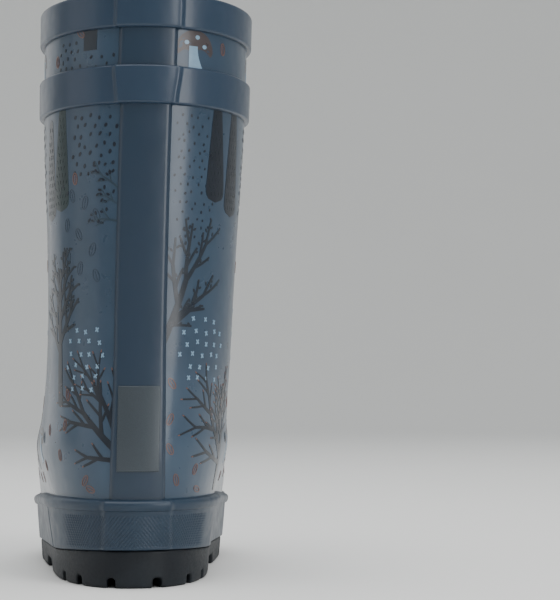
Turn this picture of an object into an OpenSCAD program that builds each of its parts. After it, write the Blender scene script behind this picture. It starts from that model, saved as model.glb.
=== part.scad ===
// Child's rubber rain boot for the left foot, laid up by hand from cut rubber
// sheet over a textile sock, with a moulded outsole and a loose footbed.
// +X is the inner side of the foot, +Y the toe, +Z up. The origin is on the
// ground under the middle of the heel.
//
// Every layer is cut from one surface, the outside of the printed upper. A point
// on a layer is a height (the height above ground at the heel), a column
// (counted round the boot from the back seam) and a depth along the normal.

/* [Whole boot] */
// Height of the topline above the ground
boot_height = 225; // [185:1:275]
// Length of the outsole, heel to toe
sole_length = 178; // [148:1:215]
// From the origin back to the end of the heel
heel_reach = 31; // [26:1:37]

/* [Widths of the upper] */
// Width across the ball of the foot
ball_width = 80; // [66:1:96]
// Width of the outsole across the heel
heel_width = 63; // [53:1:75]
// Width of the leg above the ankle, its narrowest
ankle_width = 74; // [62:1:88]
// Width of the leg at the topline
top_width = 82; // [68:1:98]
// Depth of the leg at the topline, front to back
top_depth = 94; // [80:1:112]
// How far the topline leans to the inner side
leg_lean = 5.7; // [0:0.1:9]

/* [Heights of the foot] */
// Height of the toe box
toe_height = 51; // [43:1:61]
// Height at which the vamp meets the front of the leg
instep_height = 96; // [80:1:115]

/* [Outsole] */
// Thickness of the outsole under the heel
heel_height = 14.5; // [12:0.1:17.4]
// Thickness of the outsole under the ball
ball_sole = 9.5; // [8:0.1:11.4]
// How far the tip of the toe lifts off the ground
toe_spring = 3.5; // [0:0.1:5]
// Depth of the tread grooves
tread_depth = 3.8; // [2:0.1:4.6]
// Width of the tread grooves
groove_width = 3.4; // [2.5:0.1:4.2]
// Number of grooves that break through the wall of the heel
heel_grooves = 6; // [4:2:8]
// Number of cleat rows under the forefoot
forefoot_rows = 6; // [4:1:8]

/* [Rubber layers] */
// Thickness of the printed upper
upper_t = 1.8; // [1.4:0.1:2.2]
// Thickness of the back strip
strip_t = 1.2; // [0.9:0.1:1.5]
// Width of the back strip above the ankle
strip_w = 19.6; // [16:0.2:23.6]
// How much wider the back strip is at the topline
strip_flare = 2.6; // [0:0.2:4]
// Thickness of the two leg bands
band_t = 1.8; // [1.4:0.1:2.2]
// Height of the topline band
top_band_h = 13.2; // [11:0.1:16]
// Printed gap between the two bands
band_gap = 14.3; // [11:0.1:17]
// Height of the calf band
calf_band_h = 14.7; // [12:0.1:18]
// Height of the foxing that joins the upper to the outsole
foxing_h = 19; // [16:0.1:23]
// Thickness of the foxing
foxing_t = 1.8; // [1.4:0.1:2.2]
// Height of the rolled bead at the foxing's top edge
bead_h = 4.2; // [3.4:0.1:5]
// How far the bead stands out from the foxing
bead_out = 1.2; // [0.9:0.1:1.5]
// Height of the toe bumper above the foxing, measured at the tip of the toe
bumper_rise = 10.5; // [8:0.5:13]
// Thickness of the toe bumper
bumper_t = 1.2; // [0.9:0.1:1.5]
// Width of the reflective patch on the back strip
patch_w = 15.2; // [12:0.2:18]
// Height of the reflective patch
patch_h = 32; // [26:0.5:38]
// Height of the patch's lower edge above the foxing
patch_rise = 10.5; // [8:0.5:13]
// Thickness of the reflective patch
patch_t = 0.5; // [0.4:0.1:0.7]

/* [Inner layers] */
// Thickness of the textile lining
lining_t = 1.4; // [1.1:0.1:1.7]
// Thickness of the heel counter and the toe puff
stiffener_t = 1.1; // [0.9:0.1:1.4]
// Height of the heel counter above the insole board
counter_h = 48; // [40:1:58]
// Thickness of the insole board
board_t = 2; // [1.6:0.1:2.4]
// Width of the margin of the upper and lining turned under the foot
margin_w = 9; // [7:0.5:11]
// Thickness of the footbed's foam
foam_t = 3.4; // [2.8:0.1:4]
// Thickness of the footbed's cover
cover_t = 0.8; // [0.6:0.1:1]
// Gap between the footbed and the lining
footbed_gap = 1.4; // [1.1:0.1:1.7]
// Gap in front of the footbed's toe, for it to tip up
footbed_toe_gap = 3; // [2.5:0.1:3.6]
// Thickness of the seam tape and of the topline tape
tape_t = 0.5; // [0.4:0.1:0.6]

/* [Hidden] */
cement = 0.02;         // glue line between two bonded layers
sole_cement = 0.06;    // glue line on top of the outsole
seat = 0.2;            // room between a turned-under margin and the flat layers by it
seam_gap = 0.3;        // gap where the upper butts at the back seam
rise = 0.3;            // gap under the loose footbed
step_foot = 7.2;       // tallest mesh step below the ankle
step_leg = 24;         // tallest mesh step on the leg
round_edge = 0.5;      // rounding of the bands' edges
probe = 0.4;           // step of the numeric normal, in degrees and millimetres

blue = [0.25, 0.37, 0.47];
print_blue = [0.31, 0.42, 0.52];
dark = [0.13, 0.14, 0.16];

// Heights where one layer ends or turns, all at the heel
sole_z = heel_height;
flange_z = sole_z + upper_t;
lining_z = flange_z + lining_t;
board_z = lining_z + seat;
bed_z = board_z + board_t + rise;
foxing_top = sole_z + foxing_h;
bead_z = foxing_top - bead_h;
bumper_top = foxing_top + bumper_rise;
counter_top = board_z + counter_h;
patch_z = foxing_top + patch_rise;
rim_z = boot_height - band_t - cement;
top_band_z = boot_height - top_band_h;
calf_top = top_band_z - band_gap;
calf_z = calf_top - calf_band_h;
toe_y = sole_length - heel_reach;
ball_y = toe_y * 0.55;
arch_y = toe_y * 0.24;
shank_end = toe_y * 0.48;

// ---- curves ----

function clamp(k, lo = 0, hi = 1) = min(hi, max(lo, k));
function lerp(a, b, k) = a + (b - a) * k;
function smooth(k) = let (c = clamp(k)) c * c * (3 - 2 * c);

// The piece of a curve's point list that x lies in
function span_of(t, x, i = 0) = (i >= len(t) - 2 || x < t[i + 1][0]) ? i : span_of(t, x, i + 1);
function tangent(t, i) =
    let (a = max(i - 1, 0), b = min(i + 1, len(t) - 1))
    (t[b][1] - t[a][1]) / (t[b][0] - t[a][0]);
// A smooth curve through the points of t, read at x and held past its ends
function curve(t, x) =
    let (i = span_of(t, x), h = t[i + 1][0] - t[i][0], k = clamp((x - t[i][0]) / h),
        m0 = tangent(t, i) * h, m1 = tangent(t, i + 1) * h, a = t[i][1], b = t[i + 1][1])
    a + k * (m0 + k * (3 * (b - a) - 2 * m0 - m1 + k * (2 * (a - b) + m0 + m1)));

// Back and front of the upper seen from the side, as [height, y]
top_back = -heel_reach - 6;
top_front = top_back + top_depth;
back_line = [
    [sole_z, -heel_reach + foxing_t], [sole_z + 9, -heel_reach + 0.3],
    [foxing_top, -heel_reach - 0.5], [instep_height * 0.5, -heel_reach - 1.2],
    [instep_height * 0.8, -heel_reach - 0.6], [instep_height + 12, -heel_reach - 0.8],
    [lerp(instep_height, boot_height, 0.4), -heel_reach - 2.6],
    [lerp(instep_height, boot_height, 0.7), -heel_reach - 4.6], [boot_height, top_back]];
leg_front = top_front - 1;
front_line = [
    [sole_z, toe_y - foxing_t], [sole_z + 8, toe_y + 0.2],
    [toe_height * 0.64, toe_y - 1], [toe_height * 0.76, toe_y - 4],
    [toe_height * 0.88, toe_y - 9.5], [toe_height, toe_y - 20],
    [lerp(toe_height, instep_height, 0.13), toe_y - 35],
    [lerp(toe_height, instep_height, 0.3), lerp(toe_y - 35, leg_front + 4, 0.36)],
    [lerp(toe_height, instep_height, 0.54), lerp(toe_y - 35, leg_front + 4, 0.72)],
    [lerp(toe_height, instep_height, 0.8), lerp(toe_y - 35, leg_front + 4, 0.92)],
    [instep_height + 8, leg_front + 1], [lerp(instep_height, boot_height, 0.35), leg_front - 1],
    [lerp(instep_height, boot_height, 0.7), leg_front + 0.8], [boot_height, top_front]];

// Half width of the upper where each section is widest, as [height, x]
width_line = [
    [sole_z, ball_width / 2 - 0.8], [foxing_top, ball_width / 2 + 0.8],
    [lerp(foxing_top, toe_height, 0.5), ball_width / 2 + 2], [toe_height, ball_width / 2 + 1.6],
    [instep_height * 0.66, lerp(ball_width, ankle_width, 0.7) / 2],
    [instep_height, ankle_width / 2], [lerp(instep_height, boot_height, 0.3), ankle_width / 2 + 1.2],
    [lerp(instep_height, boot_height, 0.65), lerp(ankle_width, top_width, 0.85) / 2],
    [boot_height, top_width / 2]];

// How square each section is: 2 is an ellipse
square_line = [[sole_z, 2.35], [foxing_top, 2.35], [toe_height, 2.2], [instep_height, 2.04],
    [boot_height, 2.02]];

// Share of the full width along the foot, narrow at the heel and the arch, as [y, share],
// at the top of the foxing and at the outsole
heel_share = 1.21 * (heel_width - 2 * foxing_t) / ball_width;
waist_line = [[-heel_reach, heel_share], [0, heel_share], [arch_y, heel_share * 0.965],
    [shank_end, lerp(heel_share, 1, 0.62)], [ball_y, 1], [toe_y, 0.98]];
tucked = 0.94;         // how much narrower the heel is at the outsole
low_waist_line = [[-heel_reach, heel_share * tucked], [0, heel_share * tucked],
    [arch_y, heel_share * 0.92], [shank_end, lerp(heel_share, 1, 0.5)], [ball_y, 1], [toe_y, 0.98]];

// Sideways place of the section's middle: the leg's lean by height, the foot's curve by y
lean_line = [[sole_z, leg_lean * 0.18], [foxing_top, leg_lean * 0.2],
    [instep_height * 0.6, leg_lean * 0.34], [instep_height, leg_lean * 0.64],
    [lerp(instep_height, boot_height, 0.6), leg_lean * 0.86], [boot_height, leg_lean]];
foot_curve = [[arch_y, 0], [ball_y, 2.2], [toe_y, 6]];

// How far the foot drops below its height at the heel, as [y, z], at the outsole and
// at the top of the foxing
drop = heel_height - ball_sole;
toe_drop = [[ball_y, -drop], [toe_y * 0.74, -drop * 0.93], [toe_y * 0.9, -drop * 0.72],
    [toe_y, -drop * 0.5]];
sole_line = concat([[-heel_reach, 0], [-heel_reach * 0.5, -drop * 0.2], [arch_y * 0.3, -drop * 0.55],
    [arch_y, -drop * 0.72], [shank_end, -drop * 0.94]], toe_drop);
bead_line = concat([[-heel_reach, 0], [0, -drop * 0.06], [arch_y, -drop * 0.3],
    [shank_end, -drop * 0.8]], toe_drop);
function sag(v, y) = lerp(curve(sole_line, y), curve(bead_line, y), clamp((v - sole_z) / foxing_h));

// Sideways place of the back seam from the middle of the section, as [height, x]
seam_line = [[foxing_top, 0], [instep_height * 0.7, -0.8], [instep_height, -1.8],
    [lerp(instep_height, boot_height, 0.35), -1.8], [boot_height, -0.8]];

// 1 where a section has the foot's shape, 0 where it has the leg's
function foot_part(v) = 1 - smooth((v - foxing_top) / (instep_height - foxing_top));
function heel_part(v) = 1 - smooth((v - foxing_top) / (toe_height + 12 - foxing_top));

// ---- the surface of the upper ----

// The point at height v (measured at the heel) and angle a, 0 at the back, 180 at the toe
function at(v, a) =
    let (back = curve(back_line, v), front = curve(front_line, v),
        cy = (back + front) / 2, n = 2 / curve(square_line, v), f = foot_part(v),
        s = sin(a), c = cos(a), half = curve(width_line, v),
        y = cy - (front - back) / 2 * sign(c) * pow(abs(c), n),
        share = lerp(curve(low_waist_line, y), curve(waist_line, y), clamp((v - sole_z) / foxing_h)),
        middle = curve(lean_line, v) + f * curve(foot_curve, y))
    [middle + half * lerp(1, share, heel_part(v)) * sign(s) * pow(abs(s), n), y,
        v + sag(v, y) * (1 - smooth((v - foxing_top) / (instep_height - foxing_top + 10)))];
function outward(v, a) =
    let (w = clamp(v, sole_z + probe, rim_z - probe),
        n = cross(at(w, a + probe) - at(w, a - probe), at(w + probe, a) - at(w - probe, a)),
        tilt = smooth((v - lining_z) / 8) * smooth((rim_z - v) / 8), m = [n[0], n[1], n[2] * tilt])
    m / norm(m);

// ---- the mesh that all layers share ----

// Columns on one side of the back seam, by number: the patch's edge, the strip's
// edge, the foot of the step beside it, the two sides of the foxing's seam, the
// end of the toe bumper and the toe
seam_angle = 64;
seam_width = 0.8;      // foxing seam, in degrees of angle
bumper_angle = 112;
c_patch = 2;
c_tape = 2;
c_strip = 3;
c_step = 4;
c_side = 10;
c_seam = 11;
c_bumper = 15;
c_toe = 23;
columns = 2 * c_toe + 1;

// Angle at which the section at height v is x away from its middle, near the back
function angle_at(v, x) =
    let (low = clamp((sole_z + foxing_h - v) / foxing_h),
        half = curve(width_line, v) * lerp(1, heel_share * lerp(1, tucked, low), heel_part(v)))
    asin(pow(x / half, curve(square_line, v) / 2));
function strip_half(v) = (strip_w + strip_flare * smooth((v - calf_z) / (calf_top - calf_z))
    + 1.2 * foot_part(v)) / 2;
function column_angle(v, i) =
    i <= c_patch ? angle_at(v, lerp(seam_gap, patch_w, i / c_patch) / 2)
    : i == c_strip ? angle_at(v, strip_half(v))
    : i <= c_side ? lerp(angle_at(v, strip_half(v) + 1.5 * strip_t), seam_angle,
        (i - c_step) / (c_side - c_step))
    : i <= c_bumper ? lerp(seam_angle + seam_width, bumper_angle, (i - c_seam) / (c_bumper - c_seam))
    : lerp(bumper_angle, 180, (i - c_bumper) / (c_toe - c_bumper));
function angle_of(v, c) =
    let (a = c <= c_toe ? column_angle(v, c) : -column_angle(v, columns - 1 - c),
        twist = asin(2 * curve(seam_line, v) / ankle_width))
    a + twist * (1 + cos(a)) / 2;

function sorted(l) = len(l) < 2 ? l :
    let (p = l[0], rest = [for (i = [1:1:len(l) - 1]) l[i]])
    concat(sorted([for (x = rest) if (x < p - 0.01) x]), [p], sorted([for (x = rest) if (x > p + 0.01) x]));
marks = sorted([sole_z, flange_z, lining_z, bead_z, foxing_top, bumper_top, counter_top, patch_z,
    patch_z + patch_h, calf_z, calf_top, top_band_z, rim_z]);
// Between two marks the levels are evenly spaced
levels = concat([for (i = [0:len(marks) - 2])
    let (gap = marks[i + 1] - marks[i], step = marks[i] < instep_height ? step_foot : step_leg,
        n = max(1, ceil(gap / step)))
    each [for (k = [0:n - 1]) marks[i] + gap * k / n]], [rim_z]);

points = [for (v = levels) [for (c = [0:columns - 1]) at(v, angle_of(v, c))]];
normals = [for (v = levels) [for (c = [0:columns - 1]) outward(v, angle_of(v, c))]];

// The point d outside the upper, in column c, at any height v. Under the foot the
// depth is level, so that all layers there lie flat on the outsole.
function level_of(v, i = 0) = (i >= len(levels) - 2 || v < levels[i + 1] - 0.001) ? i : level_of(v, i + 1);
function surf(v, c, d) =
    let (i = level_of(v), k = (v - levels[i]) / (levels[i + 1] - levels[i]), e = clamp(k),
        n = lerp(normals[i][c], normals[i + 1][c], e),
        p = lerp(points[i][c], points[i + 1][c], k) + d * n / norm(n))
    v > lining_z + 0.001 ? p : [p[0], p[1], v + sag(v, p[1])];

function up(v0, v1) = [for (v = levels) if (v >= v0 - 0.001 && v <= v1 + 0.001) v];
function down(v1, v0) = let (l = up(v0, v1)) [for (i = [len(l) - 1:-1:0]) l[i]];

// Columns up to i from the back seam on both sides, and back from the toe
function back_columns(i) = [for (k = [-i - 1:i]) (k + columns) % columns];
function toe_columns(i) = [for (k = [-i:i]) c_toe + k];
all_columns = [for (c = [0:columns - 1]) c];
function side_of(c) = min(c, columns - 1 - c);

// A solid swept along the columns: loops[i] holds the points of its outline in the
// i-th column, as [height, depth], going up its inner face and down its outer one
module wrap(cols, loops, closed = false) {
    n = len(cols);
    m = len(loops[0]);
    pts = [for (i = [0:n - 1]) for (p = loops[i]) surf(p[0], cols[i], p[1])];
    last = closed ? n - 1 : n - 2;
    sides = [for (i = [0:last]) for (j = [0:m - 1])
        let (i2 = (i + 1) % n, j2 = (j + 1) % m, a = i * m + j, b = i2 * m + j,
            c = i2 * m + j2, d = i * m + j2, rises = loops[i][j2][0] >= loops[i][j][0])
        each rises ? [[a, b, c], [a, c, d]] : [[a, b, d], [b, c, d]]];
    far = (n - 1) * m;
    ends = closed ? [] : concat(zipped(loops[0], 0, m - 1),
        [for (t = zipped(loops[n - 1], 0, m - 1)) [far + t[0], far + t[2], far + t[1]]]);
    polyhedron(points = pts, faces = concat(sides, ends));
}
// Triangles between the two sides of an outline, i going up one and j up the other
function zipped(loop, i, j) = j - i < 2 ? []
    : loop[i + 1][0] <= loop[j - 1][0] ? concat([[i, i + 1, j]], zipped(loop, i + 1, j))
    : concat([[i, j - 1, j]], zipped(loop, i, j - 1));

// ---- what lies under each layer, as its depth from the upper's outer face ----

function on_strip(c) = side_of(c) <= c_strip;
// Outside of the upper with the back strip on it
function over_strip(c) = cement + (on_strip(c) ? strip_t + cement : 0);
function bumper_here(v, c) = side_of(c) >= c_bumper && v <= bumper_top + 0.001;
function over_bumper(v, c) = over_strip(c) + (bumper_here(v, c) ? bumper_t + cement : 0);
// Inside of the upper with the tapes and stiffeners on it
function counter_here(v, c) = side_of(c) <= c_seam + 1 && v >= flange_z - 0.001 && v <= counter_top + 0.001;
function puff_here(v, c) = side_of(c) >= c_bumper - 1 && v >= flange_z - 0.001 && v <= bumper_top + 0.001;
function seam_tape_here(v, c) = side_of(c) <= c_tape && v >= counter_top - 0.001 && v <= top_band_z + 0.001;
function topline_tape_here(v) = v >= top_band_z - 0.001;
function inside_of(v, c) = -upper_t - cement
    - (counter_here(v, c) || puff_here(v, c) ? stiffener_t + cement : 0)
    - (seam_tape_here(v, c) || topline_tape_here(v) ? tape_t + cement : 0);

// ---- rubber laid on the upper ----

module upper() color(print_blue)
    wrap(all_columns, [for (c = all_columns) concat(
        [[sole_z, -upper_t - margin_w], [flange_z, -upper_t - margin_w]],
        [for (v = up(flange_z, rim_z)) [v, -upper_t]],
        [for (v = down(rim_z, sole_z)) [v, 0]])]);

// A sheet of even thickness t, its inner face at depth d
module layer(cols, v0, v1, d, t, closed = false)
    wrap(cols, [for (c = cols) concat([for (v = up(v0, v1)) [v, d]],
        [for (v = down(v1, v0)) [v, d + t]])], closed);

module back_strip() color(blue) layer(back_columns(c_strip), sole_z, rim_z, cement, strip_t);
module toe_bumper() color(blue)
    layer(toe_columns(c_toe - c_bumper), sole_z, bumper_top, cement, bumper_t);

module leg_band(v0, v1) color(blue)
    wrap(all_columns, [for (c = all_columns) let (base = over_strip(c)) concat(
        [for (v = up(v0, v1)) [v, base]],
        [[v1, base + band_t - round_edge], [v1 - round_edge, base + band_t],
            [v0 + round_edge, base + band_t], [v0, base + band_t - round_edge]])], closed = true);

// The topline band also folds over the raw edge of the upper and the lining
module topline_band() color(blue) {
    inner = -upper_t - 2 * cement - tape_t - lining_t;
    wrap(all_columns, [for (c = all_columns) let (base = over_strip(c)) concat(
        [for (v = up(top_band_z, rim_z)) [v, base]],
        [[rim_z + cement, base], [rim_z + cement, inner],
            [boot_height - round_edge, inner], [boot_height, inner + round_edge],
            [boot_height, base + band_t - round_edge], [boot_height - round_edge, base + band_t],
            [top_band_z + round_edge, base + band_t], [top_band_z, base + band_t - round_edge]])],
        closed = true);
}

// Foxing: a flat strip with a rolled bead along its top edge
module foxing(cols) color(blue)
    wrap(cols, [for (c = cols) concat(
        [for (v = up(sole_z, foxing_top)) [v, over_bumper(v, c)]],
        [for (k = [0:5]) let (a = 90 - 36 * k, base = over_bumper(bead_z, c) + foxing_t)
            [bead_z + bead_h / 2 * (1 + sin(a)) * 0.999, base + bead_out * cos(a)]],
        [[sole_z, over_bumper(sole_z, c) + foxing_t]])]);

module heel_foxing() foxing(back_columns(c_side));
module front_foxing() foxing(toe_columns(c_toe - c_seam));

module reflective_patch() color([0.45, 0.45, 0.45])
    layer(back_columns(c_patch), patch_z, patch_z + patch_h, strip_t + 2 * cement, patch_t);

// ---- layers between the upper and the foot ----

module lining() color([0.78, 0.76, 0.71])
    wrap(all_columns, [for (c = all_columns) concat(
        [[flange_z + cement, -upper_t - margin_w], [lining_z, -upper_t - margin_w]],
        [for (v = up(lining_z, rim_z)) [v, inside_of(v, c) - lining_t]],
        [for (v = down(rim_z, lining_z)) [v, inside_of(v, c)]],
        [[flange_z + cement, inside_of(flange_z, c)]])], closed = true);

// Counter and puff stand on the turned-under margin of the upper
module stiffener(cols, v1) color([0.2, 0.2, 0.22])
    wrap(cols, [for (c = cols) let (out = -upper_t - cement, in = out - stiffener_t) concat(
        [[flange_z + cement, in]], [for (v = up(lining_z, v1)) [v, in]],
        [for (v = down(v1, lining_z)) [v, out]], [[flange_z + cement, out]])]);
module heel_counter() stiffener(back_columns(c_seam + 1), counter_top);
module toe_puff() stiffener(toe_columns(c_toe - c_bumper + 1), bumper_top);

module tape(cols, v0, v1, closed = false) color([0.6, 0.58, 0.53])
    layer(cols, v0, v1, -upper_t - cement - tape_t, tape_t, closed);
module seam_tape() tape(back_columns(c_tape), counter_top + cement, top_band_z - cement);
module topline_tape() tape(all_columns, top_band_z, rim_z, closed = true);

// ---- flat layers under the foot ----

// Outline of the upper at height v, moved out by d and cut off level with y1
function outline(v, d, y1) = [for (c = all_columns)
    let (p = surf(v, c, 0), n = surf(v, c, 1) - p, flat = norm([n[0], n[1]]))
    [p[0] + n[0] / flat * d, min(p[1] + n[1] / flat * d, y1)]];

// Stations along the foot where the flat layers bend
bend_step = sole_length / 72;
ys = [for (k = [-floor((heel_reach + 6) / bend_step):ceil((toe_y + 6) / bend_step)]) k * bend_step];

// A sheet that follows the foot, from height v0 to v1, wider than any outline
module sheet(v0, v1) {
    half = ball_width;
    translate([-half, 0, 0]) rotate([90, 0, 90]) linear_extrude(2 * half)
        polygon(concat([for (y = ys) [y, v0 + sag(v0, y)]],
            [for (i = [len(ys) - 1:-1:0]) [ys[i], v1 + sag(v1, ys[i])]]));
}

module flat_layer(v0, v1, d, y1 = toe_y) intersection() {
    linear_extrude(2 * heel_height + foxing_h) polygon(outline((v0 + v1) / 2, d, y1));
    sheet(v0, v1);
}

module bottom_filler() color([0.35, 0.33, 0.3])
    flat_layer(sole_z + cement, board_z - cement, -upper_t - margin_w - 0.6);

module insole_board() color([0.62, 0.52, 0.4])
    flat_layer(board_z, board_z + board_t, -upper_t - stiffener_t - lining_t - seat - 0.4);

footbed_in = -upper_t - stiffener_t - lining_t - footbed_gap;
footbed_toe = toe_y - upper_t - stiffener_t - lining_t - footbed_toe_gap;
module footbed_foam() color([0.5, 0.52, 0.55])
    flat_layer(bed_z, bed_z + foam_t, footbed_in, footbed_toe);
module footbed_cover() color([0.74, 0.72, 0.67])
    flat_layer(bed_z + foam_t + cement, bed_z + foam_t + cover_t, footbed_in, footbed_toe);

// ---- outsole ----

heel_breast = toe_y * 0.2;
tread_start = toe_y * 0.36;
arch_lift = tread_depth + 0.6;
spring_start = toe_y * 0.78;

// Side view of the outsole, as [y, z]: heel, raised arch, forefoot and toe spring
side_view = concat(
    [[-heel_reach - 5, 0], [heel_breast, 0], [heel_breast + 4, arch_lift],
        [tread_start - 3, arch_lift], [tread_start, 0], [spring_start, 0]],
    [for (k = [1:5]) let (e = k / 5) [lerp(spring_start, toe_y + 5, e), toe_spring * e * e]],
    [for (i = [len(ys) - 1:-1:0]) if (ys[i] > -heel_reach - 5 && ys[i] < toe_y + 5)
        [ys[i], sole_z - sole_cement + sag(sole_z, ys[i])]],
    [[-heel_reach - 5, sole_z - sole_cement]]);

// The walls of the outsole lean in towards the ground
draft = [1.03, 1.01];
module sole_blank() intersection() {
    linear_extrude(heel_height + 1, scale = draft) scale([1 / draft[0], 1 / draft[1]])
        polygon(outline(sole_z, foxing_t - 0.2, toe_y + foxing_t));
    translate([-ball_width, 0, 0]) rotate([90, 0, 90]) linear_extrude(2 * ball_width) polygon(side_view);
}

// A groove in the tread, cut from below, centred on a line out from [x, y]
module groove(x, y, a, long, start = 0)
    translate([x, y, -1]) rotate(a) translate([start, -groove_width / 2, 0])
        cube([long, groove_width, tread_depth + 1]);

module outsole() color(dark) difference() {
    sole_blank();
    heel_w = heel_width / 2;
    // Heel: grooves that fan out round a plain middle
    for (k = [0:heel_grooves - 1])
        groove(0, 4, 180 + 180 * (k + 0.5) / heel_grooves, heel_w + 12, heel_w * 0.5);
    // Forefoot: rows of cleats, parted by grooves from each side
    pitch = (toe_y * 0.97 - tread_start) / forefoot_rows;
    for (k = [1:forefoot_rows - 1]) for (s = [-1, 1])
        groove(s * groove_width + 2, tread_start + k * pitch, s > 0 ? 14 : 166, ball_width, ball_width * 0.11);
    // A groove down the middle of the forefoot
    groove(2.5, tread_start - 4, 90, pitch * (forefoot_rows - 0.4));
}

outsole();
bottom_filler();
insole_board();
upper();
lining();
heel_counter();
toe_puff();
seam_tape();
topline_tape();
back_strip();
toe_bumper();
heel_foxing();
front_foxing();
leg_band(calf_z, calf_top);  // calf_band
topline_band();
reflective_patch();
footbed_foam();
footbed_cover();
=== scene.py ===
"""Rubber rain boot, left foot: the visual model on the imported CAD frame, in metres."""
import math
import random

import bmesh
import bpy
import numpy as np
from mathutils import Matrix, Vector


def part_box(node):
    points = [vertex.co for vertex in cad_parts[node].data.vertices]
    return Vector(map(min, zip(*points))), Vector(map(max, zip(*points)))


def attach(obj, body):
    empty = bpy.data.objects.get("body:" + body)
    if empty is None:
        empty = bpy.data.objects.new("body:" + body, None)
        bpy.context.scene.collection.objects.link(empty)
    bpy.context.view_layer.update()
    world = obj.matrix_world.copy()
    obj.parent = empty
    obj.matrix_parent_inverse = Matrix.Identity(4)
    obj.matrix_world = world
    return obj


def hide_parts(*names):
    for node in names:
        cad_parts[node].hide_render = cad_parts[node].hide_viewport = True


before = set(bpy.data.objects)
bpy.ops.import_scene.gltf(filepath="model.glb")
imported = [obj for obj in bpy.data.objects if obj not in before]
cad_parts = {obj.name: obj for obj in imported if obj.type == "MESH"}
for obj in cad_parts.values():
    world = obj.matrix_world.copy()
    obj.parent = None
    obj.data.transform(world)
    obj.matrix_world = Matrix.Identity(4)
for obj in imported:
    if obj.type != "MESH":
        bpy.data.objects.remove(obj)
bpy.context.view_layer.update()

MM = 0.001


def edge_of(node, side, axis):
    """One coordinate of a CAD node's box, in mm: side 0 is the low corner, 1 the high one."""
    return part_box(node)[side][axis] / MM


# ---- sizes shared with the CAD, in mm ----

boot_height = edge_of("topline_band", 1, 2)
top_band_z = edge_of("topline_band", 0, 2)
calf_z, calf_top = edge_of("calf_band", 0, 2), edge_of("calf_band", 1, 2)
foxing_top = edge_of("heel_foxing", 1, 2)
sole_z = edge_of("outsole", 1, 2) + 0.06
patch_z, patch_top = edge_of("reflective_patch", 0, 2), edge_of("reflective_patch", 1, 2)
footbed_toe = edge_of("footbed_cover", 1, 1)
sole_length, heel_reach = 178.0, 31.0
ball_width, heel_width = 80.0, 63.0
ankle_width, top_width, top_depth = 74.0, 82.0, 94.0
leg_lean, toe_height, instep_height = 5.7, 51.0, 96.0
ball_sole, toe_spring = 9.5, 3.5
tread_depth, groove_width, heel_grooves, forefoot_rows = 3.8, 3.4, 6, 6
upper_t, strip_t, band_t, foxing_t, bumper_t = 1.8, 1.2, 1.8, 1.8, 1.2
lining_t, stiffener_t, tape_t, patch_t, margin_w = 1.4, 1.1, 0.5, 0.5, 9.0
strip_w, strip_flare, patch_w = 19.6, 2.6, 15.2
bead_h, bead_out = 4.2, 1.2
cement = 0.02

foxing_h = foxing_top - sole_z
flange_z = sole_z + upper_t
lining_z = flange_z + lining_t
board_z = lining_z + 0.2
board_top = board_z + 2.0
bed_z = board_top + 0.3
foam_top = bed_z + 3.4
cover_z, cover_top = foam_top + cement, foam_top + 0.8
bead_z = foxing_top - bead_h
bumper_top = foxing_top + 10.5
counter_top = board_z + 48.0
rim_z = boot_height - band_t - cement
toe_y = sole_length - heel_reach
ball_y, arch_y, shank_end = toe_y * 0.55, toe_y * 0.24, toe_y * 0.48
# the foxing's side seams, the gap below their beads, what the beads close of it; the bumper's ends
SEAM_ANGLE, SEAM_WIDTH, MEET, BUMPER_ANGLE = 64.0, 0.8, 0.34, 112.0


# ---- curves ----


def clamp(k, lo=0.0, hi=1.0):
    return np.clip(k, lo, hi)


def lerp(a, b, k):
    return a + (b - a) * k


def smooth(k):
    c = clamp(k)
    return c * c * (3 - 2 * c)


def curve(table, x):
    """A smooth curve through the table's points, read at x and held past its ends."""
    xs, ys = np.array(table, float).T
    n = len(xs)
    lo, hi = np.maximum(np.arange(n) - 1, 0), np.minimum(np.arange(n) + 1, n - 1)
    slope = (ys[hi] - ys[lo]) / (xs[hi] - xs[lo])
    at_x = np.clip(x, xs[0], xs[-1])
    i = np.clip(np.searchsorted(xs, at_x, side="right") - 1, 0, n - 2)
    h = xs[i + 1] - xs[i]
    k, a, b = (at_x - xs[i]) / h, ys[i], ys[i + 1]
    m0, m1 = slope[i] * h, slope[i + 1] * h
    return a + k * (m0 + k * (3 * (b - a) - 2 * m0 - m1 + k * (2 * (a - b) + m0 + m1)))


top_back = -heel_reach - 6
top_front = top_back + top_depth
leg_front = top_front - 1
back_line = [
    (sole_z, -heel_reach + foxing_t), (sole_z + 9, -heel_reach + 0.3),
    (foxing_top, -heel_reach - 0.5), (instep_height * 0.5, -heel_reach - 1.2),
    (instep_height * 0.8, -heel_reach - 0.6), (instep_height + 12, -heel_reach - 0.8),
    (lerp(instep_height, boot_height, 0.4), -heel_reach - 2.6),
    (lerp(instep_height, boot_height, 0.7), -heel_reach - 4.6), (boot_height, top_back)]
vamp_y = [lerp(toe_y - 35, leg_front + 4, k) for k in (0.36, 0.72, 0.92)]
front_line = [
    (sole_z, toe_y - foxing_t), (sole_z + 8, toe_y + 0.2), (toe_height * 0.64, toe_y - 1),
    (toe_height * 0.76, toe_y - 4), (toe_height * 0.88, toe_y - 9.5), (toe_height, toe_y - 20),
    (lerp(toe_height, instep_height, 0.13), toe_y - 35),
    (lerp(toe_height, instep_height, 0.3), vamp_y[0]),
    (lerp(toe_height, instep_height, 0.54), vamp_y[1]),
    (lerp(toe_height, instep_height, 0.8), vamp_y[2]),
    (instep_height + 8, leg_front + 1), (lerp(instep_height, boot_height, 0.35), leg_front - 1),
    (lerp(instep_height, boot_height, 0.7), leg_front + 0.8), (boot_height, top_front)]
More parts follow.
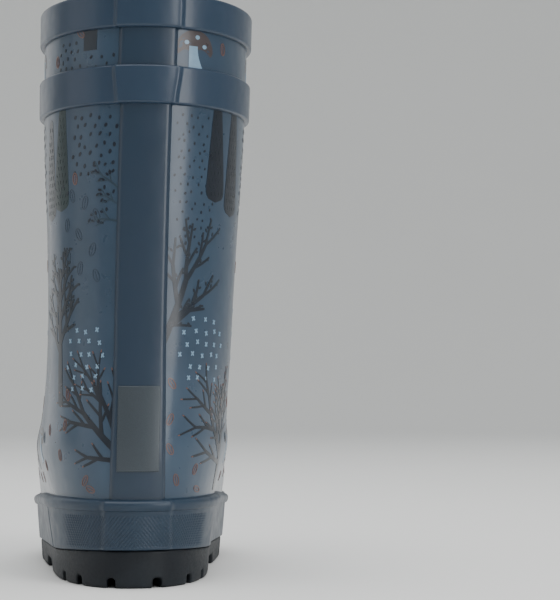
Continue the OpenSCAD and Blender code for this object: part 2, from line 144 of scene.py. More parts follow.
width_line = [
    (sole_z, ball_width / 2 - 0.8), (foxing_top, ball_width / 2 + 0.8),
    (lerp(foxing_top, toe_height, 0.5), ball_width / 2 + 2), (toe_height, ball_width / 2 + 1.6),
    (instep_height * 0.66, lerp(ball_width, ankle_width, 0.7) / 2),
    (instep_height, ankle_width / 2),
    (lerp(instep_height, boot_height, 0.3), ankle_width / 2 + 1.2),
    (lerp(instep_height, boot_height, 0.65), lerp(ankle_width, top_width, 0.85) / 2),
    (boot_height, top_width / 2)]
square_line = [(sole_z, 2.35), (foxing_top, 2.35), (toe_height, 2.2), (instep_height, 2.04),
               (boot_height, 2.02)]
heel_share = 1.21 * (heel_width - 2 * foxing_t) / ball_width
tucked = 0.94
waist_line = [(-heel_reach, heel_share), (0, heel_share), (arch_y, heel_share * 0.965),
              (shank_end, lerp(heel_share, 1, 0.62)), (ball_y, 1), (toe_y, 0.98)]
low_waist_line = [(-heel_reach, heel_share * tucked), (0, heel_share * tucked),
                  (arch_y, heel_share * 0.92), (shank_end, lerp(heel_share, 1, 0.5)),
                  (ball_y, 1), (toe_y, 0.98)]
lean_line = [(sole_z, leg_lean * 0.18), (foxing_top, leg_lean * 0.2),
             (instep_height * 0.6, leg_lean * 0.34), (instep_height, leg_lean * 0.64),
             (lerp(instep_height, boot_height, 0.6), leg_lean * 0.86), (boot_height, leg_lean)]
foot_curve = [(arch_y, 0), (ball_y, 2.2), (toe_y, 6)]
drop = sole_z - ball_sole
toe_drop = [(ball_y, -drop), (toe_y * 0.74, -drop * 0.93), (toe_y * 0.9, -drop * 0.72),
            (toe_y, -drop * 0.5)]
sole_line = [(-heel_reach, 0), (-heel_reach * 0.5, -drop * 0.2), (arch_y * 0.3, -drop * 0.55),
             (arch_y, -drop * 0.72), (shank_end, -drop * 0.94)] + toe_drop
bead_line = [(-heel_reach, 0), (0, -drop * 0.06), (arch_y, -drop * 0.3),
             (shank_end, -drop * 0.8)] + toe_drop
seam_line = [(foxing_top, 0), (instep_height * 0.7, -0.8), (instep_height, -1.8),
             (lerp(instep_height, boot_height, 0.35), -1.8), (boot_height, -0.8)]


def low_part(v):
    return clamp((v - sole_z) / foxing_h)


def sag(v, y):
    """How far a level drops along the foot below its height at the heel."""
    return lerp(curve(sole_line, y), curve(bead_line, y), low_part(v))


def foot_part(v):
    return 1 - smooth((v - foxing_top) / (instep_height - foxing_top))


def heel_part(v):
    return 1 - smooth((v - foxing_top) / (toe_height + 12 - foxing_top))


# ---- the upper's outer face, which every layer follows ----


def power(x, n):
    return np.sign(x) * np.abs(x) ** n


def at(v, a):
    """The upper's face at height v (as at the heel) and angle a, 0 at the back, 180 at the toe."""
    back, front = curve(back_line, v), curve(front_line, v)
    n = 2 / curve(square_line, v)
    s, c = np.sin(np.radians(a)), np.cos(np.radians(a))
    y = (back + front) / 2 - (front - back) / 2 * power(c, n)
    share = lerp(curve(low_waist_line, y), curve(waist_line, y), low_part(v))
    middle = curve(lean_line, v) + foot_part(v) * curve(foot_curve, y)
    x = middle + curve(width_line, v) * lerp(1, share, heel_part(v)) * power(s, n)
    fall = 1 - smooth((v - foxing_top) / (instep_height - foxing_top + 10))
    return np.stack([x, y, v + sag(v, y) * fall], -1)


def outward(v, a, probe=0.4):
    w = clamp(v, sole_z + probe, rim_z - probe)
    n = np.cross(at(w, a + probe) - at(w, a - probe), at(w + probe, a) - at(w - probe, a))
    n[..., 2] *= smooth((v - lining_z) / 8) * smooth((rim_z - v) / 8)
    return n / np.linalg.norm(n, axis=-1, keepdims=True)


def turned(v, a):
    """Angles are counted from the back seam, which leans away from the middle of the leg."""
    twist = np.degrees(np.arcsin(2 * curve(seam_line, v) / ankle_width))
    return a + twist * (1 + np.cos(np.radians(a))) / 2


def surf(v, a, d):
    """The point d outside the upper at height v and angle a from the back seam, in mm."""
    v, a, d = np.broadcast_arrays(np.asarray(v, float), a, d)
    t = turned(v, a)
    p = at(v, t) + d[..., None] * outward(v, t)
    flat = v <= lining_z + 0.001
    p[..., 2] = np.where(flat, v + sag(v, p[..., 1]), p[..., 2])
    return p


def half_width(v):
    return curve(width_line, v) * lerp(1, heel_share * lerp(1, tucked, 1 - low_part(v)), heel_part(v))


def angle_at(v, x):
    """The angle x mm to the side of the back seam."""
    k = clamp(np.abs(x) / half_width(v), 0, 0.999)
    return np.sign(x) * np.degrees(np.arcsin(k ** (curve(square_line, v) / 2)))


def side_at(v, a):
    """How far to the side of the back seam angle a is, in mm, signed."""
    side = half_width(v) * np.abs(np.sin(np.radians(a))) ** (2 / curve(square_line, v))
    return np.sign(a) * np.where(np.abs(a) > 90, 999, side)


def strip_half(v):
    flare = strip_flare * smooth((v - calf_z) / (calf_top - calf_z))
    return (strip_w + flare + 1.2 * foot_part(v)) / 2


def over_strip(v, a, ramp=1.9, ridge=0.14):
    """Outside of the upper with the back strip on it, eased over the strip's edges."""
    out = np.abs(side_at(v, a)) - strip_half(v)
    step = smooth(1 - out / ramp)
    return cement + (strip_t + cement) * step + ridge * np.exp(-((out - 0.1) / 0.9) ** 2)


def rounded(e, r):
    """The rise of a rounded edge of radius r, e mm in from it: 0 to 1."""
    return np.sqrt(np.maximum(0, 1 - (1 - clamp(e / r)) ** 2))


# ---- meshes ----


def mesh_of(name, verts, faces, weld=0.0):
    """A mesh from points in mm, facing outwards; points nearer than weld are joined."""
    mesh = bpy.data.meshes.new(name)
    mesh.from_pydata((np.asarray(verts).reshape(-1, 3) * MM).tolist(), [], faces)
    bm = bmesh.new()
    bm.from_mesh(mesh)
    if weld:
        bmesh.ops.remove_doubles(bm, verts=bm.verts, dist=weld * MM)
        bmesh.ops.dissolve_degenerate(bm, edges=bm.edges, dist=1e-7)
    bmesh.ops.recalc_face_normals(bm, faces=bm.faces)
    bm.to_mesh(mesh)
    bm.free()
    return mesh


def link(name, data):
    obj = bpy.data.objects.new(name, data)
    bpy.context.scene.collection.objects.link(obj)
    return obj


def piece(name, mesh, material, slot, body="boot"):
    """A smooth piece that rides on a body and stands for the CAD node of its own name, if any."""
    mesh.shade_smooth()
    mesh.materials.append(material)
    obj = link(name, mesh)
    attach(obj, body)
    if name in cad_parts:
        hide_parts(name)
    return obj


def make(name, verts, faces, material, slot, body="boot", weld=0.0):
    """A piece from points in mm, with its corners over 38 degrees kept sharp."""
    mesh = mesh_of(name, verts, faces, weld)
    obj = piece(name, mesh, material, slot, body)
    mesh.set_sharp_from_angle(angle=math.radians(38))
    return obj


def grid_faces(rows, cols, ring, start=0, flip=False):
    i, j = np.meshgrid(np.arange(rows - 1), np.arange(cols if ring else cols - 1), indexing="ij")
    k = (j + 1) % cols
    quads = np.stack([i * cols + j, i * cols + k, (i + 1) * cols + k, (i + 1) * cols + j], -1)
    quads = quads.reshape(-1, 4) + start
    return quads[:, ::-1] if flip else quads


def rim_faces(outer, inner):
    """Quads between two rows of point numbers."""
    return np.stack([outer[:-1], outer[1:], inner[1:], inner[:-1]], -1)


def shell(name, v, a, outer, inner, material, ring=False, **kw):
    """A sheet with its outer face at depth outer and its inner one at inner, closed all round."""
    v, a, outer, inner = np.broadcast_arrays(v, a, outer, inner)
    rows, cols = v.shape
    verts = np.concatenate([surf(v, a, outer).reshape(-1, 3), surf(v, a, inner).reshape(-1, 3)])
    index = np.arange(rows * cols).reshape(rows, cols)
    far = index + rows * cols
    close = (lambda r: np.append(r, r[0])) if ring else (lambda r: r)
    parts = [grid_faces(rows, cols, ring), grid_faces(rows, cols, ring, rows * cols, True),
             rim_faces(close(far[0]), close(index[0])),
             rim_faces(close(index[-1]), close(far[-1]))]
    if not ring:
        parts += [rim_faces(index[:, 0], far[:, 0]), rim_faces(far[:, -1], index[:, -1])]
    return make(name, verts, np.concatenate(parts).tolist(), material, **kw)


def hoop(name, v, a, d, material, **kw):
    """A closed outline, given as rows of height and depth, swept right round the boot."""
    p = surf(v, a, d)
    p = np.concatenate([p, p[:1]])
    rows, cols = p.shape[:2]
    faces = grid_faces(rows, cols, True)
    faces = np.where(faces >= (rows - 1) * cols, faces - (rows - 1) * cols, faces)
    return make(name, p[:-1], faces.tolist(), material, **kw)


def steps(a, b, size):
    return np.linspace(a, b, max(2, int(math.ceil(abs(b - a) / size)) + 1))


def eased(a, b, size, edge=0.9, fine=0.15):
    """Values from a to b, close together within edge of both ends."""
    ends = steps(0, edge, fine)[:-1]
    return np.concatenate([a + ends, steps(a + edge, b - edge, size), (b - ends)[::-1]])


def round_columns(v, size=1.3):
    """Angles right round the boot at the heights v, close together by the back strip's edges."""
    v = np.asarray(v, float)[:, None]
    n = int(14 / (1))
    inner = np.linspace(-1, 1, 2 * n + 1)[None] * (strip_half(v) - 1.4)
    by = np.linspace(-1.4, 3.0, 16)[None] + strip_half(v)
    x = np.concatenate([-by[:, ::-1], inner[:, 1:-1], by], 1)
    near = angle_at(v, x)
    last = near[:, -1:]
    rest = last + (360 - 2 * last) * np.linspace(0, 1, int(230 / size))[None, 1:-1]
    return np.concatenate([near, rest], 1)


def wrapped(a):
    """Angles over 180 counted back from the seam the other way."""
    return np.where(a > 180, a - 360, a)


# ---- materials ----


class Look:
    """A procedural material on a Principled shader, in the boot's own coordinates."""

    def __init__(self, name, rough=0.4, **fixed):
        self.mat = bpy.data.materials.new(name)
        self.mat.use_nodes = True
        self.tree = self.mat.node_tree
        self.bsdf = self.tree.nodes["Principled BSDF"]
        self.bsdf.inputs["Roughness"].default_value = rough
        for key, value in fixed.items():
            self.bsdf.inputs[key.replace("_", " ")].default_value = value
        self.coord = self.tree.nodes.new("ShaderNodeTexCoord").outputs["Object"]

    def put(self, socket, value):
        if isinstance(value, bpy.types.NodeSocket):
            self.tree.links.new(value, socket)
        else:
            socket.default_value = value

    def node(self, kind, out=0, props=(), **inputs):
        n = self.tree.nodes.new("ShaderNode" + kind)
        for key, value in dict(props).items():
            setattr(n, key, value)
        for key, value in inputs.items():
            self.put(n.inputs[int(key[1:]) if key[1:].isdigit() else key.replace("_", " ")], value)
        return n.outputs[out]

    def noise(self, scale, detail=3.0):
        return self.node("TexNoise", Vector=self.coord, Scale=scale, Detail=detail, Roughness=0.55)

    def math(self, op, a, b):
        return self.node("Math", props={"operation": op}, i0=a, i1=b)

    def span(self, value, a, b, c=0.0, d=1.0):
        """The value's range a to b stretched to c to d, and held past its ends."""
        return self.node("MapRange", Value=value, From_Min=a, From_Max=b, To_Min=c, To_Max=d)

    def wave(self, axis, pitch):
        """Even waves along an axis, pitch metres apart."""
        return self.node("TexWave", out=1, props={"bands_direction": axis}, Vector=self.coord,
                         Scale=0.314 / pitch)

    def patchy(self, scale, low, high):
        """A number that drifts between low and high over the surface."""
        return self.span(self.noise(scale, 2), 0.3, 0.7, low, high)

    def swell(self, scale):
        """The slight waviness of rubber that was laid by hand."""
        return self.bump(self.noise(scale, 2), 0.0009, 0.5)

    def mix(self, factor, a, b):
        n = self.tree.nodes.new("ShaderNodeMix")
        n.data_type = "RGBA"
        self.put(n.inputs[0], factor)
        self.put(n.inputs[6], a)
        self.put(n.inputs[7], b)
        return n.outputs[2]

    def axis(self, name):
        n = self.tree.nodes.new("ShaderNodeSeparateXYZ")
        self.put(n.inputs[0], self.coord)
        return n.outputs[name]

    def bump(self, height, distance, strength):
        return self.node("Bump", Height=height, Distance=distance, Strength=strength)

    def set(self, **sockets):
        for key, value in sockets.items():
            self.put(self.bsdf.inputs[key.replace("_", " ")], value)
        return self


def rgb(r, g, b):
    """A colour given in display values 0 to 255, as linear light."""
    linear = [((c / 255 + 0.055) / 1.055) ** 2.4 if c > 10 else c / 3294.6 for c in (r, g, b)]
    return (*linear, 1.0)


def seen(r, g, b):
    """A colour as the eye sees it, made dimmer and bluer: the rubber's own under these lights."""
    return rgb(r * 0.5848, g * 0.6868, b * 0.7684)


def glossy_rubber(name, base, light, rough=0.33, coat=0.3):
    """Vulcanised rubber under clear lacquer: cloudy, slightly wavy, a little dull low down."""
    k = Look(name, rough, Coat_Weight=coat, Coat_Roughness=0.2, Specular_IOR_Level=0.32)
    low_down = k.span(k.axis("Z"), 0.0, 0.09, 1.0, 0.35)
    worn = k.span(k.math("MULTIPLY", k.noise(150, 5), low_down), 0.30, 0.62)
    body = k.mix(k.span(k.noise(38, 4), 0.32, 0.72), base, light)
    dusty = k.mix(k.math("MULTIPLY", worn, 0.06), body, seen(120, 124, 126))
    dull = k.math("ADD", k.patchy(210, rough - 0.03, rough + 0.04), k.math("MULTIPLY", worn, 0.10))
    return k.set(Base_Color=dusty, Roughness=dull, Normal=k.swell(62)).mat


def print_rubber():
    """The upper's printed ground: slate blue, misty, lighter like snow low down."""
    k = Look("printed_rubber", 0.3, Coat_Weight=0.35, Coat_Roughness=0.17, Specular_IOR_Level=0.32)
    ground = k.mix(k.span(k.noise(22, 4), 0.35, 0.7), seen(66, 82, 96), seen(78, 94, 108))
    hill = k.math("ADD", k.axis("Z"), k.span(k.noise(26, 1), 0.3, 0.7, -0.009, 0.009))
    snow = k.mix(k.span(hill, 0.086, 0.078, 0, 0.5), ground, seen(92, 108, 122))
    tone = k.mix(k.span(k.noise(70, 3), 0.4, 0.8, 0, 0.3), snow, seen(56, 72, 86))
    return k.set(Base_Color=tone, Roughness=k.patchy(190, 0.27, 0.33), Normal=k.swell(55)).mat


def sole_rubber():
    """Matt moulded rubber with a fine grain, dusty where it is near the ground."""
    k = Look("sole_rubber", 0.55, Specular_IOR_Level=0.28)
    grain = k.noise(900, 3)
    near_ground = k.span(k.axis("Z"), 0.0, 0.012, 0.75, 0.12)
    dust = k.math("MULTIPLY", k.span(k.noise(120, 5), 0.42, 0.72), near_ground)
    body = k.mix(k.noise(60, 3), seen(22, 25, 30), seen(31, 34, 39))
    tone = k.mix(k.math("MULTIPLY", dust, 0.35), body, seen(96, 94, 90))
    dull = k.math("ADD", k.span(grain, 0.3, 0.7, 0.46, 0.60), k.math("MULTIPLY", dust, 0.2))
    return k.set(Base_Color=tone, Roughness=dull, Normal=k.bump(grain, 0.00005, 0.6)).mat


def patch_film():
    """Reflective film: tiny glass beads under clear plastic."""
    k = Look("reflective_film", 0.4, Metallic=0.25, Coat_Weight=0.25, Coat_Roughness=0.2)
    beads = k.node("TexVoronoi", Vector=k.coord, Scale=3600.0)
    tone = k.mix(k.span(beads, 0.1, 0.6), seen(96, 96, 96), seen(80, 80, 80))
    cloud = k.mix(k.span(k.noise(90, 3), 0.35, 0.7, 0, 0.5), tone, seen(88, 87, 86))
    dull = k.span(k.noise(300, 3), 0.3, 0.7, 0.34, 0.48)
    return k.set(Base_Color=cloud, Roughness=dull, Normal=k.bump(beads, 0.00002, 0.5)).mat


def ink(name, base, light):
    """Print ink under the same lacquer, a little uneven in the rubber's grain."""
    k = Look(name, 0.3, Coat_Weight=0.3, Coat_Roughness=0.17, Specular_IOR_Level=0.3)
    tone = k.mix(k.span(k.noise(240, 5), 0.35, 0.68), base, light)
    return k.set(Base_Color=tone, Roughness=k.patchy(190, 0.27, 0.34), Normal=k.swell(55)).mat


def knit(name, base, light, pitch=0.0011):
    """Jersey: rows of small loops, with a soft nap."""
    k = Look(name, 0.85, Sheen_Weight=0.35, Sheen_Roughness=0.5)
    stitch = k.span(k.node("TexVoronoi", Vector=k.coord, Scale=1 / pitch), 0.1, 0.7, 1, 0)
    rows = k.wave("Z", pitch * 2)
    loops = k.math("MULTIPLY", stitch, k.span(rows, 0, 1, 0.55, 1))
    fuzz = k.noise(1800, 3)
    tone = k.mix(k.span(k.math("ADD", loops, k.math("MULTIPLY", fuzz, 0.5)), 0.1, 1.1), base, light)
    dull = k.span(fuzz, 0.3, 0.7, 0.78, 0.94)
    return k.set(Base_Color=tone, Roughness=dull, Normal=k.bump(loops, 0.00022, 0.8)).mat


def weave(name, base, light, pitch=0.0009):
    """Plain-woven tape."""
    k = Look(name, 0.85, Sheen_Weight=0.2)
    threads = k.math("MAXIMUM", k.wave("X", pitch), k.wave("Y", pitch))
    tone = k.mix(k.span(k.math("MULTIPLY", threads, k.noise(300, 4)), 0.1, 0.6), base, light)
    dull = k.patchy(600, 0.75, 0.92)
    return k.set(Base_Color=tone, Roughness=dull, Normal=k.bump(threads, 0.00015, 0.7)).mat


def foam(name, base, light):
    """Foamed rubber, with fine open cells."""
    k = Look(name, 0.8)
    cells = k.node("TexVoronoi", Vector=k.coord, Scale=1400.0)
    tone = k.mix(k.span(cells, 0.05, 0.6), base, light)
    dull = k.patchy(500, 0.7, 0.9)
    return k.set(Base_Color=tone, Roughness=dull, Normal=k.bump(cells, 0.00012, 0.6)).mat


# ---- rubber pieces ----

LIP, KNURL_REACH = 0.1, 43.0  # a skived edge's thickness; the knurl, to each side of the seam


def upper(material):
    """The sheet, with its rounded raw edges and the margin turned in under the foot."""
    size = 1.0
    v = eased(sole_z, rim_z, 1.25 * size)
    face = -0.35 * (1 - rounded(v - sole_z, 0.5)) - 0.3 * (1 - rounded(rim_z - v, 0.5))
    inner_v = np.concatenate([[sole_z, flange_z], v[v > flange_z]])
    inner = np.where(np.arange(len(inner_v)) < 2, -upper_t - margin_w, -upper_t)
    a = np.concatenate([round_columns(inner_v, 1.1 * size), round_columns(v, 1.1 * size)[::-1]])
    heights, depths = np.concatenate([inner_v, v[::-1]]), np.concatenate([inner, face[::-1]])
    return hoop("upper", heights[:, None], wrapped(a), depths[:, None], material, slot="printed_rubber")


def back_strip(material):
    """The strip over the back seam, its edges skived to a slope."""
    v = eased(sole_z, rim_z, 1.4)[:, None]
    x = eased(-1, 1, 0.06, edge=0.12, fine=0.012)[None] * strip_half(v)
    rise = 1 - (1 - clamp((strip_half(v) - np.abs(x)) / 1.6)) ** 1.5
    return shell("back_strip", v, angle_at(v, x), cement + lerp(0.08, strip_t, rise), cement, material,
                 slot="strip_rubber")


def calf_band(material):
    v = eased(calf_z, calf_top, 0.9, edge=1.2, fine=0.1)
    a = wrapped(round_columns(v))
    v = v[:, None]
    base = over_strip(v, a)
    rise = rounded(np.minimum(v - calf_z, calf_top - v), 1.0)
    return shell("calf_band", v, a, base + lerp(LIP, band_t, rise), base, material, ring=True,
                 slot="band_rubber")


def topline_band(material):
    """Band folded over the raw rim: a smooth rolled edge outside, over the top and inside."""
    low, r, inner_r = top_band_z, 1.1, 0.7
    inner = -upper_t - 2 * cement - tape_t - lining_t
    turn = np.radians(steps(0, 90, 9))
    up, back = 1 - np.cos(turn), 1 - np.sin(turn)
    side = steps(low + r, boot_height - r, 0.9)[1:-1]
    v = np.concatenate([low + r * up, side, boot_height - r * up[::-1]])[:, None]
    out = band_t - r * np.concatenate([back, 0 * side, back[::-1]])[:, None]
    a = round_columns(v[:, 0])
    base = over_strip(v, wrapped(a))
    rim_a, rim_base = a[-1:], base[-1:]
    over = [(boot_height, lerp(rim_base + band_t - r, inner + inner_r, k)) for k in steps(0, 1, 0.12)[1:]]
    over += [(boot_height - inner_r * u, inner + inner_r * b) for u, b in zip(up[1:], back[1:])]
    over += [(rim_z + cement, inner), (rim_z + cement, rim_base)]
    rows = [v + 0 * a] + [z + 0 * rim_a for z, _ in over] + [low + 0 * rim_a]
    depths = [base + out] + [d + 0 * rim_a for _, d in over] + [base[:1]]
    angles = [a] + [rim_a] * len(over) + [a[:1]]
    v, d, a = (np.concatenate(x)[::-1] for x in (rows, depths, angles))
    return hoop("topline_band", v, wrapped(a), d, material, slot="band_rubber")


def arc_table():
    """Distance along the foxing from the back seam, by angle."""
    a = np.linspace(-180, 180, 1441)
    p = surf(np.full_like(a, 24.0), a, 1.8)
    s = np.concatenate([[0], np.cumsum(np.linalg.norm(np.diff(p, axis=0), axis=1))])
    return a, s - np.interp(0, a, s)


def knurl(s, v, pitch=1.42, high=0.42, faint=0.34):
    """Fine diamond ridges round the heel, one slant stronger on each side, fading out sideways."""
    slant = 0.78 * v
    right = smooth(0.5 + s / 14)

    def ridges(u, strength):
        return strength * np.abs(np.sin(np.pi * u / pitch)) ** 1.3

    ridge = ridges(s - slant, lerp(1, faint, right)) + ridges(s + slant, lerp(faint, 1, right))
    fade = smooth((KNURL_REACH - 1 - np.abs(s)) / 11)
    fade = fade * smooth(v - sole_z - 0.6) * smooth(bead_z - 1.2 - v)
    return -high * fade * (1 - ridge / (1 + faint))


def foxing_face(v):
    """Depth of the foxing's outer face above what it lies on: flat below, a rolled bead on top."""
    mid = bead_z + bead_h / 2
    k = clamp((v - mid) / (bead_h / 2), -1, 1)
    bulge = bead_out * np.sqrt(np.maximum(0, 1 - k ** 2))
    roll = (foxing_t + bead_out) * (1 - np.abs(k) ** 2.6) ** (1 / 2.6)
    d = np.where(v < bead_z, foxing_t, np.where(v < mid, foxing_t + bulge, np.maximum(roll, LIP)))
    return d - 0.5 * (1 - rounded(v - sole_z, 0.5))


def foxing_rows(size):
    return np.concatenate([steps(sole_z, sole_z + 0.6, 0.12)[:-1], steps(sole_z + 0.6, bead_z, size)[:-1],
                           steps(bead_z, foxing_top, 0.17)])


def heel_foxing(material):
    fine = 0.21
    v = foxing_rows(fine * 1.05)[:, None]
    table_a, table_s = arc_table()
    reach, knurled = np.interp(SEAM_ANGLE, table_a, table_s), KNURL_REACH
    s = np.concatenate([steps(-reach, -knurled, 1.0)[:-1], steps(-knurled, knurled, fine)[:-1],
                        steps(knurled, reach, 1.0)])
    a = seam_spread(v, np.interp(s, table_s, table_a)[None])
    base = over_strip(v, a, 2.6, 0.3 * smooth((v - sole_z) / 14))
    face = base + foxing_face(v) + knurl(s[None], v) - seam_groove(v, a, SEAM_ANGLE)
    return shell("heel_foxing", v, a, np.maximum(face, base + LIP), base, material, slot="foxing_rubber")


def seam_spread(v, a):
    """The two strips of foxing meet at the bead and part a little below it."""
    close = smooth((v - bead_z + 0.8) / 0.8)
    near = smooth((np.abs(a) - SEAM_ANGLE * 0.8) / (SEAM_ANGLE * 0.2))
    return a * (1 + close * MEET / SEAM_ANGLE * near)


def seam_groove(v, a, end):
    part = 1 - smooth((v - bead_z + 0.6) / 0.8)
    return 0.55 * part * (1 - rounded(np.abs(np.abs(a) - end) * 0.55, 0.8))


def over_bumper(a):
    """What the foxing lies on at the front: the toe bumper's layer, eased at its ends."""
    return cement + (bumper_t + cement) * smooth((np.abs(a) - BUMPER_ANGLE + 2.6) / 3.0)


def front_foxing(material):
    start = SEAM_ANGLE + SEAM_WIDTH
    v = foxing_rows(0.9)[:, None]
    a = eased(start, 360 - start, 1.0, edge=3, fine=0.3)[None]
    w = wrapped(a)
    a = a - np.sign(w) * MEET * smooth((v - bead_z + 0.8) / 0.8) * smooth((start + 3 - np.abs(w)) / 3)
    w = wrapped(a)
    base = over_bumper(w)
    face = base + foxing_face(v) - seam_groove(v, w, start)
    return shell("front_foxing", v, w, np.maximum(face, base + LIP), base, material, slot="foxing_rubber")


def toe_bumper(material):
    v = eased(sole_z, bumper_top, 1.1)[:, None]
    w = wrapped(eased(BUMPER_ANGLE, 360 - BUMPER_ANGLE, 1.0, edge=1.6, fine=0.16)[None])
    rise = np.minimum(rounded((np.abs(w) - BUMPER_ANGLE) * 0.8, 1.0), rounded(bumper_top - v, 1.0))
    return shell("toe_bumper", v, w, cement + lerp(0.06, bumper_t, rise), cement, material,
                 slot="band_rubber")


def reflective_patch(material):
    v = eased(patch_z, patch_top, 1.2, edge=0.5, fine=0.08)[:, None]
    x = eased(-patch_w / 2, patch_w / 2, 0.7, edge=0.5, fine=0.08)[None]
    base = strip_t + 2 * cement
    rise = np.minimum(rounded(patch_w / 2 - np.abs(x), 0.3),
                      rounded(np.minimum(v - patch_z, patch_top - v), 0.3))
    return shell("reflective_patch", v, angle_at(v, x), base + lerp(LIP, patch_t, rise), base, material,
                 slot="reflective_film")


# ---- layers inside ----


def eases_to(edge, x, width=2.5):
    return smooth((edge - x) / width)


def inside_of(v, a):
    """Depth of the upper's inside with the stiffeners and tapes on it, eased over their edges."""
    counter = eases_to(counter_top + 2.5, v) * eases_to(SEAM_ANGLE + 5, np.abs(a), 3.5)
    puff = eases_to(bumper_top + 2.5, v) * (1 - eases_to(BUMPER_ANGLE - 4, np.abs(a), 3.5))
    seam = eases_to(angle_at(v, 9.2), np.abs(a), 3.0)
    top = 1 - eases_to(top_band_z, v)
    return (-upper_t - cement - (stiffener_t + cement) * np.maximum(counter, puff)
            - (tape_t + cement) * np.maximum(seam * (1 - counter), top))


def lining(material):
    """The textile sock, with its lower margin turned in over the upper's."""
    size = 1.0
    v = np.concatenate([[flange_z + cement, lining_z], steps(lining_z, rim_z, 1.6 * size)[1:]])
    a = wrapped(np.linspace(0, 360, int(240 / size), endpoint=False))
    v, a = np.meshgrid(v, a, indexing="ij")
    out = inside_of(v, a)
    inner = out - lining_t
    inner[:2] = -upper_t - margin_w
    return hoop("lining", np.concatenate([v, v[::-1]]), np.concatenate([a, a]),
                np.concatenate([inner, out[::-1]]), material, slot="lining_textile")


def stiffener(name, a0, a1, top, material):
    """Counter and puff: a sheet with its top and end edges skived thin."""
    v = eased(flange_z + cement, top, 1.6)[:, None]
    a = steps(a0, a1, 1.2)[None]
    out = -upper_t - cement
    thick = lerp(0.15, stiffener_t, smooth(np.minimum(top - v, np.minimum(a - a0, a1 - a)) / 5))
    return shell(name, v, wrapped(a), out, out - thick, material, slot="stiffener_rubber")


def tape(name, v0, v1, size, a, material, **kw):
    """Tape on the inside of the upper, at the angles a(v)."""
    v = steps(v0, v1, size)[:, None]
    out = -upper_t - cement
    return shell(name, v, a(v), out, out - tape_t, material, slot="tape_textile", **kw)


def tapes(material):
    """Over the back seam from the counter to the topline, and all round the topline."""
    x = steps(-patch_w / 2, patch_w / 2, 0.9)[None]
    tape("seam_tape", counter_top + cement, top_band_z - cement, 1.6, lambda v: angle_at(v, x), material)
    a = wrapped(np.linspace(0, 360, 260, endpoint=False)[None])
    tape("topline_tape", top_band_z, rim_z, 1.4, lambda v: a, material, ring=True)


# ---- flat layers under the foot ----


def outline(v, d, count=300):
    """The upper's outline at height v moved out by d, and its outward direction, seen from above."""
    a = np.linspace(0, 360, count, endpoint=False)
    n = outward(np.full(count, v), a)[:, :2]
    n /= np.linalg.norm(n, axis=1, keepdims=True)
    return surf(np.full(count, v), a, 0.0)[:, :2] + n * d, n


def spine(v, count, ahead):
    """Points along the middle of the foot that the outline's points are drawn in to, in pairs."""
    y = outline(v, 0.0, count)[0][:, 1]
    middle = curve([(-30, 0.5), (35, 1.2), (80, 3.4), (147, 7.2)], y)
    return np.stack([middle, np.clip(y, -8, ahead)], -1)


def pad(name, v0, v1, d, material, toe=None, r=0.5, **kw):
    """A closed sheet under the foot with rounded edges, from height v0 to v1."""
    ring, n = outline((v0 + v1) / 2, d)
    if toe is not None:
        ring[:, 1] = np.minimum(ring[:, 1], toe)
    r = min(r, (v1 - v0) / 2)
    middle = spine((v0 + v1) / 2, len(ring), (toe or toe_y) - 26)
    inwards = (0.03, 0.08, 0.16, 0.27, 0.4, 0.55, 0.7, 0.85, 1.0)
    flat = [lerp(ring - n * r, middle, f) for f in inwards]
    turns = np.radians([0, 22, 45, 67, 90])
    edge = [(ring - n * r * (1 - math.cos(t)), r * (1 - math.sin(t))) for t in turns]
    levels = [(xy, v0) for xy in flat[::-1]] + [(xy, v0 + rise) for xy, rise in edge[::-1]]
    levels += [(xy, v1 - drop) for xy, drop in edge] + [(xy, v1) for xy in flat]
    verts = np.concatenate([np.column_stack([xy, v + sag(v, xy[:, 1])]) for xy, v in levels])
    return make(name, verts, grid_faces(len(levels), len(ring), True).tolist(), material, weld=0.002, **kw)


# ---- the print on the upper ----

BURIED = -0.05  # depth of a patch of ink's underside, a little under the upper's face


def arc_grid():
    """Distance from the back seam along the upper, for a grid of heights and angles."""
    v, a = np.linspace(sole_z, boot_height, 90), np.linspace(-180, 180, 721)
    p = surf(*np.meshgrid(v, a, indexing="ij"), 0.0)
    run = np.linalg.norm(np.diff(p, axis=1), axis=-1)
    s = np.concatenate([np.zeros((len(v), 1)), np.cumsum(run, 1)], 1)
    return v, a, s - s[:, 360:361]


GRID_V, GRID_A, GRID_S = arc_grid()


def angle_of_arc(s, v):
    """The angle at distance s along the upper from the back seam."""
    k = clamp((v - GRID_V[0]) / (GRID_V[1] - GRID_V[0]), 0, len(GRID_V) - 1.001)
    i = k.astype(int)
    near = np.array([np.interp(x, GRID_S[j], GRID_A) for x, j in zip(s, i)])
    far = np.array([np.interp(x, GRID_S[j + 1], GRID_A) for x, j in zip(s, i)])
    return lerp(near, far, k - i)


def stretch(s, v):
    """How far the surface runs for each mm of height there: about 1 on the leg, more on the vamp."""
    a = angle_of_arc(np.array([s, s]), np.array([v - 0.5, v + 0.5]))
    p = surf(np.array([v - 0.5, v + 0.5]), a, 0.0)
    return max(1.0, float(np.linalg.norm(p[1] - p[0])))


